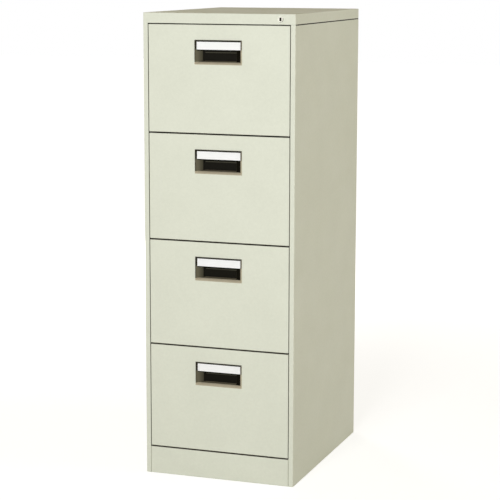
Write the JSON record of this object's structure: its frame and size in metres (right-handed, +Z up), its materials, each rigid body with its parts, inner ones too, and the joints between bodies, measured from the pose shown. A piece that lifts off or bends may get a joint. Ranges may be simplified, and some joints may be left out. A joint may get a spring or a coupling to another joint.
{
  "type": "filing cabinet",
  "caption": "Vertical steel filing cabinet with stacked full-extension drawers, recessed handles with card windows, file followers and a header lock.",
  "frame": {"origin": "on the floor, under the middle of the case", "axes": "+Z up, -Y is the front that the drawers pull out of, +X is the right side seen from the front"},
  "size_m": [0.45, 0.6245, 1.335],
  "materials": {
    "case_paint": "semi-gloss fine texture",
    "drawer_paint": "semi-gloss fine texture",
    "rail_primer": "black primer, dull",
    "follower_paint": "semi-gloss",
    "galvanised_steel": "zinc plated, satin",
    "handle_plastic": "moulded, satin",
    "card_paper": "uncoated paper card",
    "slide_nylon": "natural nylon",
    "roller_nylon": "natural nylon",
    "lock_chrome": "polished",
    "screw_steel": "zinc plated"
  },
  "bodies": {
    "cabinet": {"side_panel_left": "case_paint", "side_panel_right": "case_paint", "top_cap": "case_paint", "back_panel": "case_paint", "plinth": "case_paint", "base_pan": "case_paint", "uprights": "galvanised_steel", "cross_rails": "rail_primer", "slide_outer": "galvanised_steel", "slide_rests": "slide_nylon", "case_screws": "screw_steel", "lock_housing": "lock_chrome", "lock_guides": "slide_nylon"},
    "lock_plug": {"lock_plug": "lock_chrome", "lock_cam": "galvanised_steel"},
    "lock_bar": {"lock_bar": "galvanised_steel"},
    "drawer_1": {"drawer_1_front": "drawer_paint", "drawer_1_liner": "drawer_paint", "drawer_1_tray": "drawer_paint", "drawer_1_handle": "handle_plastic", "drawer_1_label_card": "card_paper", "drawer_1_slide_inner": "galvanised_steel", "drawer_1_slide_pads": "slide_nylon"},
    "follower_1": {"drawer_1_follower": "follower_paint"},
    "slide_middle_1": {"drawer_1_slide_middle": "galvanised_steel"},
    "rollers_rear_1": {"drawer_1_rollers_rear": "roller_nylon"},
    "rollers_front_1": {"drawer_1_rollers_front": "roller_nylon"},
    "drawer_2": {"drawer_2_front": "drawer_paint", "drawer_2_liner": "drawer_paint", "drawer_2_tray": "drawer_paint", "drawer_2_handle": "handle_plastic", "drawer_2_label_card": "card_paper", "drawer_2_slide_inner": "galvanised_steel", "drawer_2_slide_pads": "slide_nylon"},
    "follower_2": {"drawer_2_follower": "follower_paint"},
    "slide_middle_2": {"drawer_2_slide_middle": "galvanised_steel"},
    "rollers_rear_2": {"drawer_2_rollers_rear": "roller_nylon"},
    "rollers_front_2": {"drawer_2_rollers_front": "roller_nylon"},
    "drawer_3": {"drawer_3_front": "drawer_paint", "drawer_3_liner": "drawer_paint", "drawer_3_tray": "drawer_paint", "drawer_3_handle": "handle_plastic", "drawer_3_label_card": "card_paper", "drawer_3_slide_inner": "galvanised_steel", "drawer_3_slide_pads": "slide_nylon"},
    "follower_3": {"drawer_3_follower": "follower_paint"},
    "slide_middle_3": {"drawer_3_slide_middle": "galvanised_steel"},
    "rollers_rear_3": {"drawer_3_rollers_rear": "roller_nylon"},
    "rollers_front_3": {"drawer_3_rollers_front": "roller_nylon"},
    "drawer_4": {"drawer_4_front": "drawer_paint", "drawer_4_liner": "drawer_paint", "drawer_4_tray": "drawer_paint", "drawer_4_handle": "handle_plastic", "drawer_4_label_card": "card_paper", "drawer_4_slide_inner": "galvanised_steel", "drawer_4_slide_pads": "slide_nylon"},
    "follower_4": {"drawer_4_follower": "follower_paint"},
    "slide_middle_4": {"drawer_4_slide_middle": "galvanised_steel"},
    "rollers_rear_4": {"drawer_4_rollers_rear": "roller_nylon"},
    "rollers_front_4": {"drawer_4_rollers_front": "roller_nylon"}
  },
  "joints": [
    {"name": "drawer_1_slide", "type": "slide", "parent": "cabinet", "child": "drawer_1", "axis": [0, -1, 0], "range_m": [0, 0.5]},
    {"name": "drawer_1_middle_slide", "type": "slide", "parent": "cabinet", "child": "slide_middle_1", "axis": [0, -1, 0], "range_m": [0, 0.25]},
    {"name": "drawer_1_rollers_rear_spin", "type": "hinge", "parent": "slide_middle_1", "child": "rollers_rear_1", "pos_m": [0, 0.268, 1.069], "axis": [1, 0, 0], "range_deg": [-1200, 1200]},
    {"name": "drawer_1_rollers_front_spin", "type": "hinge", "parent": "slide_middle_1", "child": "rollers_front_1", "pos_m": [0, -0.248, 1.069], "axis": [1, 0, 0], "range_deg": [-1200, 1200]},
    {"name": "follower_1_slide", "type": "slide", "parent": "drawer_1", "child": "follower_1", "axis": [0, -1, 0], "range_m": [0, 0.4]},
    {"name": "drawer_2_slide", "type": "slide", "parent": "cabinet", "child": "drawer_2", "axis": [0, -1, 0], "range_m": [0, 0.5]},
    {"name": "drawer_2_middle_slide", "type": "slide", "parent": "cabinet", "child": "slide_middle_2", "axis": [0, -1, 0], "range_m": [0, 0.25]},
    {"name": "drawer_2_rollers_rear_spin", "type": "hinge", "parent": "slide_middle_2", "child": "rollers_rear_2", "pos_m": [0, 0.268, 0.763], "axis": [1, 0, 0], "range_deg": [-1200, 1200]},
    {"name": "drawer_2_rollers_front_spin", "type": "hinge", "parent": "slide_middle_2", "child": "rollers_front_2", "pos_m": [0, -0.248, 0.763], "axis": [1, 0, 0], "range_deg": [-1200, 1200]},
    {"name": "follower_2_slide", "type": "slide", "parent": "drawer_2", "child": "follower_2", "axis": [0, -1, 0], "range_m": [0, 0.4]},
    {"name": "drawer_3_slide", "type": "slide", "parent": "cabinet", "child": "drawer_3", "axis": [0, -1, 0], "range_m": [0, 0.5]},
    {"name": "drawer_3_middle_slide", "type": "slide", "parent": "cabinet", "child": "slide_middle_3", "axis": [0, -1, 0], "range_m": [0, 0.25]},
    {"name": "drawer_3_rollers_rear_spin", "type": "hinge", "parent": "slide_middle_3", "child": "rollers_rear_3", "pos_m": [0, 0.268, 0.457], "axis": [1, 0, 0], "range_deg": [-1200, 1200]},
    {"name": "drawer_3_rollers_front_spin", "type": "hinge", "parent": "slide_middle_3", "child": "rollers_front_3", "pos_m": [0, -0.248, 0.457], "axis": [1, 0, 0], "range_deg": [-1200, 1200]},
    {"name": "follower_3_slide", "type": "slide", "parent": "drawer_3", "child": "follower_3", "axis": [0, -1, 0], "range_m": [0, 0.4]},
    {"name": "drawer_4_slide", "type": "slide", "parent": "cabinet", "child": "drawer_4", "axis": [0, -1, 0], "range_m": [0, 0.5]},
    {"name": "drawer_4_middle_slide", "type": "slide", "parent": "cabinet", "child": "slide_middle_4", "axis": [0, -1, 0], "range_m": [0, 0.25]},
    {"name": "drawer_4_rollers_rear_spin", "type": "hinge", "parent": "slide_middle_4", "child": "rollers_rear_4", "pos_m": [0, 0.268, 0.151], "axis": [1, 0, 0], "range_deg": [-1200, 1200]},
    {"name": "drawer_4_rollers_front_spin", "type": "hinge", "parent": "slide_middle_4", "child": "rollers_front_4", "pos_m": [0, -0.248, 0.151], "axis": [1, 0, 0], "range_deg": [-1200, 1200]},
    {"name": "follower_4_slide", "type": "slide", "parent": "drawer_4", "child": "follower_4", "axis": [0, -1, 0], "range_m": [0, 0.4]},
    {"name": "lock_turn", "type": "hinge", "parent": "cabinet", "child": "lock_plug", "pos_m": [0.182, -0.31, 1.3203], "axis": [0, 1, 0], "range_deg": [0, 90]},
    {"name": "lock_bar_slide", "type": "slide", "parent": "cabinet", "child": "lock_bar", "axis": [0, 0, -1], "range_m": [0, 0.006]}
  ],
  "couplings": [
    {"joint": "drawer_1_middle_slide", "follows": "drawer_1_slide", "ratio": 0.5},
    {"joint": "drawer_1_rollers_rear_spin", "follows": "drawer_1_slide", "rad_per_m": -41.667},
    {"joint": "drawer_1_rollers_front_spin", "follows": "drawer_1_slide", "rad_per_m": 41.667},
    {"joint": "drawer_2_middle_slide", "follows": "drawer_2_slide", "ratio": 0.5},
    {"joint": "drawer_2_rollers_rear_spin", "follows": "drawer_2_slide", "rad_per_m": -41.667},
    {"joint": "drawer_2_rollers_front_spin", "follows": "drawer_2_slide", "rad_per_m": 41.667},
    {"joint": "drawer_3_middle_slide", "follows": "drawer_3_slide", "ratio": 0.5},
    {"joint": "drawer_3_rollers_rear_spin", "follows": "drawer_3_slide", "rad_per_m": -41.667},
    {"joint": "drawer_3_rollers_front_spin", "follows": "drawer_3_slide", "rad_per_m": 41.667},
    {"joint": "drawer_4_middle_slide", "follows": "drawer_4_slide", "ratio": 0.5},
    {"joint": "drawer_4_rollers_rear_spin", "follows": "drawer_4_slide", "rad_per_m": -41.667},
    {"joint": "drawer_4_rollers_front_spin", "follows": "drawer_4_slide", "rad_per_m": 41.667},
    {"joint": "lock_turn", "follows": "lock_bar_slide", "rad_per_m": 261.7}
  ]
}
